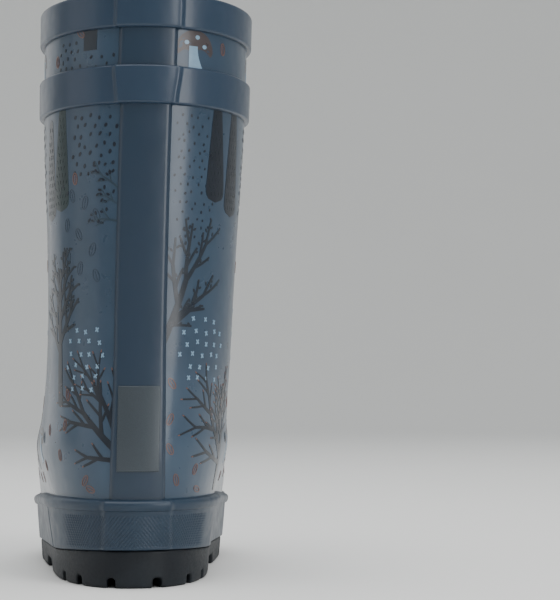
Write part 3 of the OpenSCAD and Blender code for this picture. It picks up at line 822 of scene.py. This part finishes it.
class Ink:
    """Thin closed patches of one colour on the upper, drawn in mm about a place on it."""

    def __init__(self, lift):
        self.rows, self.faces, self.lift, self.count = [], [], lift, 0

    def at(self, s, v):
        """Draw about the place s mm round from the back seam and v mm up."""
        self.origin = (s, v, stretch(s, v))

    def add(self, points, depths, faces):
        s0, v0, grow = self.origin
        start = len(self.rows)
        self.rows += [(s0 + x, v0 + y / grow, d) for (x, y), d in zip(points, depths)]
        self.faces += [[start + i for i in f] for f in faces]
        self.count += 1

    def top(self):
        """Height of the ink's face: a little different from patch to patch, so none coincide."""
        return 0.055 + self.lift + 0.0022 * (self.count % 11)

    def stroke(self, path, half):
        """A line along path, half wide to each side: one number, or one for each point."""
        path = np.array(path, float)
        half = np.broadcast_to(np.asarray(half, float), len(path))
        way = np.gradient(path, axis=0)
        side = np.column_stack([way[:, 1], -way[:, 0]])
        side /= np.maximum(np.linalg.norm(way, axis=1), 1e-6)[:, None]
        across = max(2, int(math.ceil(half.max() * 2 / 1.4)))
        spread = list(np.linspace(-1, 1, across + 1)) + [1, -1]
        m, n = len(spread), len(path)
        points = [p + out * w * t for p, w, out in zip(path, half, side) for t in spread]
        depths = ([self.top()] * (across + 1) + [BURIED] * 2) * n
        ends = [list(range(m))[::-1], list(range((n - 1) * m, n * m))]
        self.add(points, depths, grid_faces(n, m, True).tolist() + ends)

    def blob(self, shape):
        """A filled outline, seen whole from its middle."""
        shape = np.array(shape, float)
        c, n = shape.mean(0), len(shape)
        points = [c] + list(lerp(c, shape, 0.5)) + list(shape) * 2 + [c]
        depths = [self.top()] * (1 + 2 * n) + [BURIED] * (n + 1)
        faces = []
        for i in range(n):
            k = (i + 1) % n
            faces.append((0, 1 + i, 1 + k))
            for row in (1, 1 + n):
                faces.append((row + i, row + n + i, row + n + k, row + k))
            faces.append((1 + 3 * n, 1 + 2 * n + k, 1 + 2 * n + i))
        self.add(points, depths, faces)

    def piece(self, name, material):
        s, v, d = np.array(self.rows).T
        v = clamp(v, foxing_top - 1.0, rim_z - 1.0)
        return make(name, surf(v, angle_of_arc(s, v), d), self.faces, material, slot="printed_rubber")


def place(s, v, *pens):
    for pen in filter(None, pens):
        pen.at(s, v)


def oval(rx, ry, tilt=0.0, x=0.0, y=0.0, n=10):
    c, s = math.cos(tilt), math.sin(tilt)
    turns = np.linspace(0, 2 * math.pi, n, endpoint=False)
    ring = [(rx * math.cos(t), ry * math.sin(t)) for t in turns]
    return [(x + u * c - w * s, y + u * s + w * c) for u, w in ring]


def bend(x, y, turn, long, curl=0.0):
    """Points of a curved line that sets off at angle turn, in degrees from straight up."""
    n = max(3, int(long / 1.3) + 1)
    path = [(x, y)]
    for i in range(n):
        t = math.radians(turn + curl * (i / n))
        x, y = x + long / n * math.sin(t), y + long / n * math.cos(t)
        path.append((x, y))
    return path


def scatter(ink, rnd, s0, s1, v0, v1, gap, row_gap, loose, taper=0.0):
    """Set the pen on each point in turn of a loose staggered grid, narrower above and below."""
    row, v = 0, v0
    while v <= v1:
        cut = abs(v - (v0 + v1) / 2) * taper
        s = s0 + (row % 2) * gap / 2 + cut
        while s <= s1 - cut:
            ink.at(s + rnd.uniform(-loose, loose), v + rnd.uniform(0.1 - loose, loose - 0.1))
            yield
            s += gap
        row, v = row + 1, v + gap * row_gap


def dots(ink, rnd, s0, s1, v0, v1, gap=4.2, size=0.62):
    for _ in scatter(ink, rnd, s0, s1, v0, v1, gap, 0.86, 0.9):
        wide, high = size * rnd.uniform(0.8, 1.1), size * rnd.uniform(1.2, 1.6)
        ink.blob(oval(wide, high, rnd.uniform(-0.7, 0.2)))


def snow(ink, rnd, s0, s1, v0, v1):
    """Small crosses."""
    for _ in scatter(ink, rnd, s0, s1, v0, v1, 5.3, 0.84, 0.8, 0.4):
        tilt = rnd.uniform(-14, 14)
        for t in np.radians([38 + tilt, -38 + tilt]):
            x, y = math.sin(t), math.cos(t)
            ink.stroke([(-x, -y), (0, 0), (x, y)], [0.24, 0.36, 0.24])


def leaf(ink, s, v, tilt, long=2.3, wide=1.15, line=0.17):
    """A leaf drawn in outline, with its midrib."""
    ink.at(s, v)
    loop = oval(wide, long, tilt, n=14)
    ink.stroke(loop + loop[:2], line)
    x, y = -math.sin(tilt) * long, math.cos(tilt) * long
    ink.stroke([(-x * 0.8, -y * 0.8), (0, 0), (x * 0.7, y * 0.7)], line * 0.8)


def branch(ink, tip_ink, rnd, x, y, turn, long, half, depth, leaves=None, spread=34):
    """A branch that forks depth times; its last twigs have round ends, bright tips or leaves."""
    path = bend(x, y, turn, long, rnd.uniform(-16, 16))
    n = len(path)
    ink.stroke(path, half * np.linspace(1, 0.72, n))
    if depth == 0:
        x, y = path[-1]
        ink.blob(oval(half * 0.75, half * 0.75, 0, x, y, 8))
        if tip_ink is not None:
            tip_ink.stroke(bend(x, y, turn, 1.0), 0.2)
        for side in (-1, 1) if leaves is not None else ():
            x, y = path[n // 2 + (side > 0)]
            tilt = -math.radians(turn + side * 40)
            leaves.blob(oval(0.5, 0.85, tilt, x + side * 1.3, y + 0.6, 9))
        return
    for f, side in ((0.38, 1), (0.62, -1), (1.0, 0.45), (1.0, -0.75)):
        x, y = path[min(n - 1, int(f * (n - 1) + 0.5))]
        branch(ink, tip_ink, rnd, x, y, turn + side * spread + rnd.uniform(-7, 7),
               long * rnd.uniform(0.5, 0.68), half * lerp(0.72, 0.6, f), depth - 1, leaves, spread)


def tree(ink, rnd, s, v, high, half, tip_ink=None, leaves=None, lean=0.0, limbs=3):
    """A bare tree: a trunk with a round foot, and limbs that fork to both sides."""
    place(s, v, ink, tip_ink, leaves)
    path = bend(0, 0, lean, high, -lean)
    n = len(path)
    ink.stroke(path, half * (0.42 + 0.58 * np.linspace(1, 0, n) ** 1.2))
    ink.blob(oval(half * 1.02, half * 0.8, 0, 0, 0.1, 12))
    for i in range(limbs * 2):
        f = lerp(0.38, 0.92, i / (limbs * 2 - 1))
        x, y = path[int(f * (n - 1))]
        side = 1 if i % 2 else -1
        branch(ink, tip_ink, rnd, x, y, lean + side * lerp(40, 24, f), high * lerp(0.36, 0.16, f),
               half * lerp(0.62, 0.36, f), 1, leaves)


def conifer(ink, detail, rnd, s, v, high, half):
    """A plump conifer, rounded at its foot, with rows of short needle strokes."""
    place(s, v, ink, detail)
    k = np.linspace(0, 1, int(high / 1.3) + 2)
    wide = half * rounded(k * high, half * 0.8) * (1 - 0.66 * k ** 1.25) * rounded((1 - k) * high, 2.0)
    ink.stroke([(0, y) for y in k * high], np.maximum(wide, 0.12))
    row, y = 0, 3.4
    while y < high - 4:
        w = half * (1 - 0.66 * (y / high) ** 1.25) - 1.1
        x = -w + (row % 2) * 1.0
        while x <= w:
            tilt = math.atan2(x, 6.0) + rnd.uniform(-0.15, 0.15)
            dx, dy = 0.8 * math.sin(tilt), 0.8 * math.cos(tilt)
            detail.stroke([(x - dx, y - dy), (x, y), (x + dx, y + dy)], [0.1, 0.17, 0.1])
            x += 2.1
        row, y = row + 1, y + 2.7


def mushroom(cap, stem, s, v, high, half):
    """A plain toadstool: a domed cap on a stem that widens to its foot."""
    place(s, v, cap, stem)
    k = np.linspace(0, 1, int(high / 1.2) + 2)
    stem.stroke(np.column_stack([0.25 * half * (1 - k) ** 2 - 0.1 * half, k * high]),
                half * (0.22 + 0.26 * (1 - k) ** 2))
    brim = high * 0.86
    dome = [(half * math.cos(t), brim + 0.95 * half * math.sin(t)) for t in np.radians(range(0, 181, 15))]
    cap.blob(dome + [(-half * 0.9, high * 0.72), (0, high * 0.66), (half * 0.9, high * 0.72)])
    for x, y in ((-0.45, 0.35), (0.1, 0.62), (0.5, 0.22)):
        stem.blob(oval(half * 0.12, half * 0.1, 0, x * half, brim + y * half, 9))


def back_print(pens, rnd):
    """What is seen from behind, left to right."""
    dark, wood, pale_wood, mist, white, orange, green, grey, night, needle, brown = pens
    for field in ((-30.5, -11.5, 157, 182), (-39, -33, 150, 156, 4.4), (12.5, 26, 150, 181, 3.7, 0.42),
                  (14, 30, 133, 148, 3.9, 0.42), (-41, -29, 198, 209, 4.0, 0.55),
                  (-24, -14, 198, 201.5, 4.0, 0.55)):
        dots(dark, rnd, *field)
    for pen, *size in ((grey, -48.0, 140.5, 40, 5.2), (green, -38.4, 143.5, 43, 5.6),
                       (night, 43.5, 142.5, 44, 6.0), (night, 31.5, 147.0, 41, 5.6)):
        conifer(pen, needle, rnd, *size)
    for v, turn, long in ((151, -52, 9), (138.5, -78, 8), (145, -64, 6)):
        place(-9.5, v, pale_wood, dark)
        branch(pale_wood, None, rnd, 0, 0, turn, long, 0.42, 1, dark, 40)
    for s, v, tilt in ((-31, 149, .3), (-24, 146, -.2), (-18.5, 141, .4), (-34, 138, 0), (-27, 134, .5),
                       (-20, 128, -.3), (-33, 126, .2), (-26, 121, -.1), (-18, 118, .35), (-31, 114, 0)):
        leaf(mist, s, v, tilt, 2.6, 1.3)
    tree(wood, rnd, -38.8, 69.5, 52, 2.1, leaves=wood, limbs=4)
    wood.at(8.5, 92)
    branch(wood, None, rnd, 0, 0, 24, 26, 1.5, 2, wood, 30)
    wood.at(8.5, 96)
    branch(wood, None, rnd, 0, 0, 52, 14, 0.9, 1, wood, 34)
    snow(white, rnd, -34, -11.5, 75, 98.5)
    snow(white, rnd, 15.5, 42, 79, 102)
    place(-8.5, 52, night, orange)
    for limb in ((0, -48, 20, 1.35, 2), (6, -22, 18, 1.05, 2), (-4, -84, 12, 0.95, 1)):
        branch(night, orange, rnd, 0, *limb)
    tree(night, rnd, 50.5, 36, 42, 1.7, tip_ink=orange, lean=-9, limbs=4)
    place(49, 48, night, orange)
    for limb in ((0, -42, 22, 1.25, 2), (-2, -78, 16, 0.95, 1)):
        branch(night, orange, rnd, 0, *limb)
    for s, v, tilt in ((12.8, 77, .6), (12.4, 63.4, -.4), (12.6, 52.2, .5), (26.3, 44.2, -.5),
                       (15.7, 40.5, .2), (28.5, 36.5, 1.3), (-50.4, 59, .3), (-35.1, 61, -.2),
                       (-38.9, 49.4, .1), (-22.1, 40.2, -.6), (-32.9, 72.6, .2), (-19.4, 37, 1.2),
                       (-29.5, 155.5, .1), (33, 206.6, .1), (-43, 202, .1), (-58, 45, .4),
                       (-28.4, 211, .8), (60, 70, .3)):
        leaf(orange, s, v, tilt)
    wood.at(-23.6, 204)
    wood.stroke(bend(0, 0, 0, 14), 3.1)
    mushroom(brown, white, 18.8, 194, 11.8, 8.4)


def side_print(pens, rnd):
    """The same woodland carried on round the leg and over the foot."""
    dark, wood, pale_wood, mist, white, orange, green, grey, night, needle, brown = pens
    for side in (-1, 1):
        tree(wood, rnd, side * 78, 118, 52, 2.0, leaves=wood, limbs=4)
        conifer(green, needle, rnd, side * 97, 138, 44, 5.8)
        conifer(grey, needle, rnd, side * 109, 131, 38, 5.0)
        tree(night, rnd, side * 122, 118, 46, 1.7, tip_ink=orange, limbs=3)
        dots(dark, rnd, *sorted((side * 56, side * 70)), 146, 180)
        dots(dark, rnd, *sorted((side * 84, side * 112)), 199, 209, 4.2, 0.55)
        snow(white, rnd, *sorted((side * 60, side * 84)), 88, 112)
        snow(white, rnd, *sorted((side * 92, side * 112)), 100, 124)
        mushroom(brown, white, side * 62, 195, 10, 5.0)
        mushroom(brown, white, side * 66, 46, 11, 5.4)
        tree(night, rnd, side * 84, 44, 34, 1.5, tip_ink=orange, limbs=3)
        conifer(green, needle, rnd, side * 104, 44, 30, 5.0)
        for s, v in ((58, 56), (72, 70), (76, 40), (94, 40), (95, 62), (112, 42), (118, 58), (128, 44),
                     (138, 50), (150, 42), (70, 130), (88, 128), (116, 176), (92, 190), (130, 60),
                     (146, 56), (106, 80), (60, 124)):
            leaf(orange if (s + v) % 3 else mist, side * s, v, rnd.uniform(-0.8, 0.8))


def woodland():
    """The print, one piece for each ink: its name, lift, colour and lighter colour."""
    inks = [("dark", 0.03, (16, 28, 42), (24, 36, 50)), ("wood", 0.03, (30, 38, 47), (38, 46, 55)),
            ("pale_wood", 0.03, (58, 72, 80), (66, 80, 88)), ("mist", 0.0, (46, 62, 76), (52, 68, 82)),
            ("white", 0.035, (186, 198, 206), (204, 214, 220)),
            ("orange", 0.06, (168, 96, 74), (184, 112, 86)), ("green", 0.0, (34, 54, 52), (42, 62, 58)),
            ("grey", 0.0, (40, 46, 52), (48, 54, 60)), ("night", 0.03, (16, 26, 38), (24, 34, 46)),
            ("needle", 0.06, (22, 38, 40), (30, 46, 48)), ("brown", 0.0, (98, 72, 66), (112, 84, 76))]
    rnd, pens = random.Random(23), [Ink(lift) for _, lift, _, _ in inks]
    back_print(pens, rnd)
    side_print(pens, rnd)
    for pen, (name, _, base, light) in zip(pens, inks):
        pen.piece("print_" + name, ink("ink_" + name, seen(*base), seen(*light)))


# ---- outsole ----

HEEL_BREAST, TREAD_START, SPRING_START = toe_y * 0.2, toe_y * 0.36, toe_y * 0.78
ARCH_LIFT = tread_depth + 0.6


def ground_line(y):
    """Underside of the outsole seen from the side."""
    arch = np.interp(y, [HEEL_BREAST, HEEL_BREAST + 4, TREAD_START - 3, TREAD_START], [0, 1, 1, 0])
    spring = clamp((y - SPRING_START) / (toe_y + 5 - SPRING_START)) ** 2
    return ARCH_LIFT * arch + toe_spring * spring


def sole_blank():
    """The outsole before its grooves are cut, and narrower below than above."""
    ring, n = outline(sole_z, foxing_t - 0.2, 420)
    middle = spine(sole_z, len(ring), toe_y - 30)
    low, high = ground_line(ring[:, 1]), sole_z - 0.06 + sag(sole_z, ring[:, 1])
    r, rim = 0.9, 0.35
    rows = []

    def level(xy, z, width_of=None):
        """A row of points at z, as wide as the sole is at width_of, or at z if that isn't given."""
        k = np.asarray(z if width_of is None else width_of)[:, None] / 15.5
        rows.append(np.column_stack([xy * lerp(np.array([[1 / 1.03, 1 / 1.01]]), 1.0, k), z]))

    for f in np.linspace(1, 0, 40)[:-1]:
        xy = lerp(ring - n * r, middle, f)
        level(xy, ground_line(xy[:, 1]))
    for t in np.radians([90, 68, 45, 22, 0]):
        level(ring - n * r * (1 - math.cos(t)), low + r * (1 - math.sin(t)), width_of=low)
    for k in np.linspace(0, 1, 14)[1:-1]:
        level(ring, lerp(low + r, high - rim, k))
    for t in np.radians([0, 30, 60, 90]):
        level(ring - n * rim * (1 - math.cos(t)), high - rim * (1 - math.sin(t)))
    for f in np.linspace(0, 1, 14)[1:]:
        xy = lerp(ring - n * rim, middle, f)
        level(xy, sole_z - 0.06 + sag(sole_z, xy[:, 1]))
    return np.concatenate(rows), grid_faces(len(rows), len(ring), True).tolist()


def groove_boxes():
    """Tread grooves, as (x, y, angle, length, start) of boxes cut from below."""
    heel_w = heel_width / 2
    boxes = [(0, 4, 180 + 180 * (k + 0.5) / heel_grooves, heel_w + 12, heel_w * 0.5)
             for k in range(heel_grooves)]
    pitch = (toe_y * 0.97 - TREAD_START) / forefoot_rows
    for k in range(1, forefoot_rows):
        for s in (-1, 1):
            boxes.append((s * groove_width + 2, TREAD_START + k * pitch, 14 if s > 0 else 166,
                          ball_width, ball_width * 0.11))
    boxes.append((2.5, TREAD_START - 4, 90, pitch * (forefoot_rows - 0.4), 0))
    return boxes


def temporary(name, verts, faces):
    return link(name, mesh_of(name, verts, faces, 0.002))


def outsole(material):
    """The blank with its grooves cut, remeshed so that every moulded edge is a little round."""
    body = temporary("outsole_blank", *sole_blank())
    cutters = []
    for i, (x, y, turn, long, start) in enumerate(groove_boxes()):
        c, s = math.cos(math.radians(turn)), math.sin(math.radians(turn))
        corners = [(u, w, z) for z in (-1 - 0.01 * i, tread_depth - 0.004 * i) for u in (start, start + long)
                   for w in (-groove_width / 2, groove_width / 2)]
        verts = [(x + u * c - w * s, y + u * s + w * c, z) for u, w, z in corners]
        faces = [(0, 1, 3, 2), (4, 6, 7, 5), (0, 4, 5, 1), (2, 3, 7, 6), (0, 2, 6, 4), (1, 5, 7, 3)]
        cutters.append(temporary(f"groove_{i}", verts, faces))
        cut = body.modifiers.new(f"cut_{i}", "BOOLEAN")
        cut.object, cut.operation, cut.solver = cutters[-1], "DIFFERENCE", "EXACT"
    remesh = body.modifiers.new("remesh", "REMESH")
    remesh.mode, remesh.voxel_size = "VOXEL", 0.6 * MM
    soften = body.modifiers.new("soften", "SMOOTH")
    soften.factor, soften.iterations = 0.5, 3
    mesh = bpy.data.meshes.new_from_object(body.evaluated_get(bpy.context.evaluated_depsgraph_get()))
    mesh.name = "outsole_mesh"
    for obj in cutters + [body]:
        bpy.data.objects.remove(obj)
    mesh.materials.clear()
    return piece("outsole", mesh, material, "sole_rubber")


# ---- studio ----


def aimed(name, data, spot, ahead):
    """A camera or a lamp at a spot, in metres, looking along ahead."""
    obj = link(name, data)
    obj.location, obj.rotation_mode = spot, "QUATERNION"
    obj.rotation_quaternion = ahead.to_track_quat("-Z", "Y")
    return obj


def camera():
    """Straight behind the boots at a third of their height, turned a little to the right."""
    turn, lift, from_side, distance = math.radians(7.4), math.radians(3.1), math.radians(-2.5), 650
    data = bpy.data.cameras.new("camera")
    data.lens, data.sensor_width = 96.3, 36
    data.clip_start, data.clip_end = 0.01, 50
    eye = Vector((4.5 + distance * math.sin(from_side), 10 - distance * math.cos(from_side), 75.7))
    ahead = Vector((math.sin(turn) * math.cos(lift), math.cos(turn) * math.cos(lift), math.sin(lift)))
    bpy.context.scene.camera = aimed("camera", data, eye * MM, ahead)


def area_light(name, azimuth, distance, height, size, power):
    """A soft box facing the boot; azimuth 0 is behind the camera, positive to its right."""
    data = bpy.data.lights.new(name, "AREA")
    data.shape, data.size, data.size_y = "RECTANGLE", size[0], size[1]
    data.energy = power
    a = math.radians(azimuth)
    spot = Vector((distance * math.sin(a), -distance * math.cos(a), height))
    aimed(name, data, spot, Vector((0.004, 0.01, 0.11)) - spot).visible_camera = False


def studio_floor():
    """A pale bowl: flat floor that curves up into a wall all round, clear from outside."""
    k = Look("studio_floor", 0.9, Specular_IOR_Level=0.0)
    k.set(Base_Color=k.mix(k.noise(3, 2), rgb(232, 232, 230), rgb(236, 236, 234)))
    nodes, join = k.tree.nodes, k.tree.links.new
    clear, shown = nodes.new("ShaderNodeBsdfTransparent"), nodes.new("ShaderNodeMixShader")
    join(nodes.new("ShaderNodeNewGeometry").outputs["Backfacing"], shown.inputs[0])
    join(k.bsdf.outputs[0], shown.inputs[1])
    join(clear.outputs[0], shown.inputs[2])
    join(shown.outputs[0], nodes["Material Output"].inputs["Surface"])
    radius, bend_r, height = 3.4, 1.4, 3.4
    flat = radius - bend_r
    profile = [(0.0, 0.0), (0.6, 0.0), (1.2, 0.0), (flat, 0.0)]
    rise = np.radians(range(5, 91, 5))
    profile += [(flat + bend_r * math.sin(t), bend_r * (1 - math.cos(t))) for t in rise]
    profile += [(radius, height)]
    turns = np.radians(np.arange(0, 360, 5))
    verts = [(r * math.cos(t), r * math.sin(t), z) for r, z in profile for t in turns]
    mesh = bpy.data.meshes.new("studio_floor")
    mesh.from_pydata(verts, [], grid_faces(len(profile), len(turns), True, flip=True).tolist())
    bm = bmesh.new()
    bm.from_mesh(mesh)
    bmesh.ops.remove_doubles(bm, verts=bm.verts, dist=1e-6)
    bm.to_mesh(mesh)
    bm.free()
    mesh.shade_smooth()
    mesh.materials.append(k.mat)
    link("studio_floor", mesh)


def studio():
    """The bowl, a soft grey sky and four soft boxes."""
    studio_floor()
    world = bpy.data.worlds.new("soft_world")
    world.use_nodes = True
    sky = world.node_tree.nodes["Background"].inputs
    sky[0].default_value, sky[1].default_value = (0.78, 0.82, 0.86, 1), 0.6
    bpy.context.scene.world = world
    area_light("top", 0, 0.3, 1.9, (1.8, 1.8), 36)
    area_light("right_strip", 38, 1.2, 0.32, (0.5, 1.3), 10.5)
    area_light("left_fill", -80, 1.3, 0.4, (0.9, 1.2), 2.0)
    area_light("left_side", -140, 1.0, 0.3, (0.6, 1.2), 1.2)


def flat_layers():
    """What is under the foot, from the hollow of the margins up to the footbed's cover."""
    filler = pad("bottom_filler", sole_z + cement, board_z - cement, -upper_t - margin_w - 0.6,
                 foam("filler_sponge", rgb(86, 80, 72), rgb(112, 105, 95)), slot="filler_rubber")
    inset = -upper_t - stiffener_t - lining_t
    pad("insole_board", board_z, board_top, inset - 0.6,
        weave("board_textile", rgb(150, 128, 100), rgb(176, 154, 124)), slot="board_textile")
    bed = pad("footbed_foam", bed_z, foam_top, inset - 1.4,
              foam("footbed_foam", rgb(108, 112, 118), rgb(138, 142, 148)), toe=footbed_toe, r=1.1,
              body="footbed", slot="footbed_foam")
    pad("footbed_cover", cover_z, cover_top, inset - 1.4,
        knit("footbed_knit", rgb(160, 156, 146), rgb(196, 192, 182)), toe=footbed_toe, r=0.35,
        body="footbed", slot="footbed_textile")


def boot():
    plain = glossy_rubber("plain_rubber", seen(54, 71, 87), seen(58, 75, 92))
    # The strip is the same blue rubber as the bands, given a darker copy of it: the extra dark is painted
    # shade, the dark reflection the strip shows when seen square on.
    strip = glossy_rubber("strip_rubber", seen(44, 62, 77), seen(47, 65, 81), rough=0.35)
    fox = glossy_rubber("foxing_rubber", seen(50, 66, 80), seen(55, 73, 88), rough=0.42, coat=0.15)
    upper(print_rubber())
    woodland()
    back_strip(strip)
    calf_band(plain)
    topline_band(plain)
    heel_foxing(fox)
    front_foxing(fox)
    toe_bumper(plain)
    reflective_patch(patch_film())
    outsole(sole_rubber())
    lining(knit("lining_knit", rgb(176, 172, 162), rgb(206, 202, 193)))
    stiff = foam("stiffener_rubber", rgb(50, 50, 54), rgb(66, 66, 70))
    stiffener("heel_counter", -SEAM_ANGLE - 4, SEAM_ANGLE + 4, counter_top, stiff)
    stiffener("toe_puff", BUMPER_ANGLE - 3, 360 - BUMPER_ANGLE + 3, bumper_top, stiff)
    tapes(weave("tape_textile", rgb(168, 162, 150), rgb(196, 190, 178)))
    flat_layers()


camera()
studio()
boot()
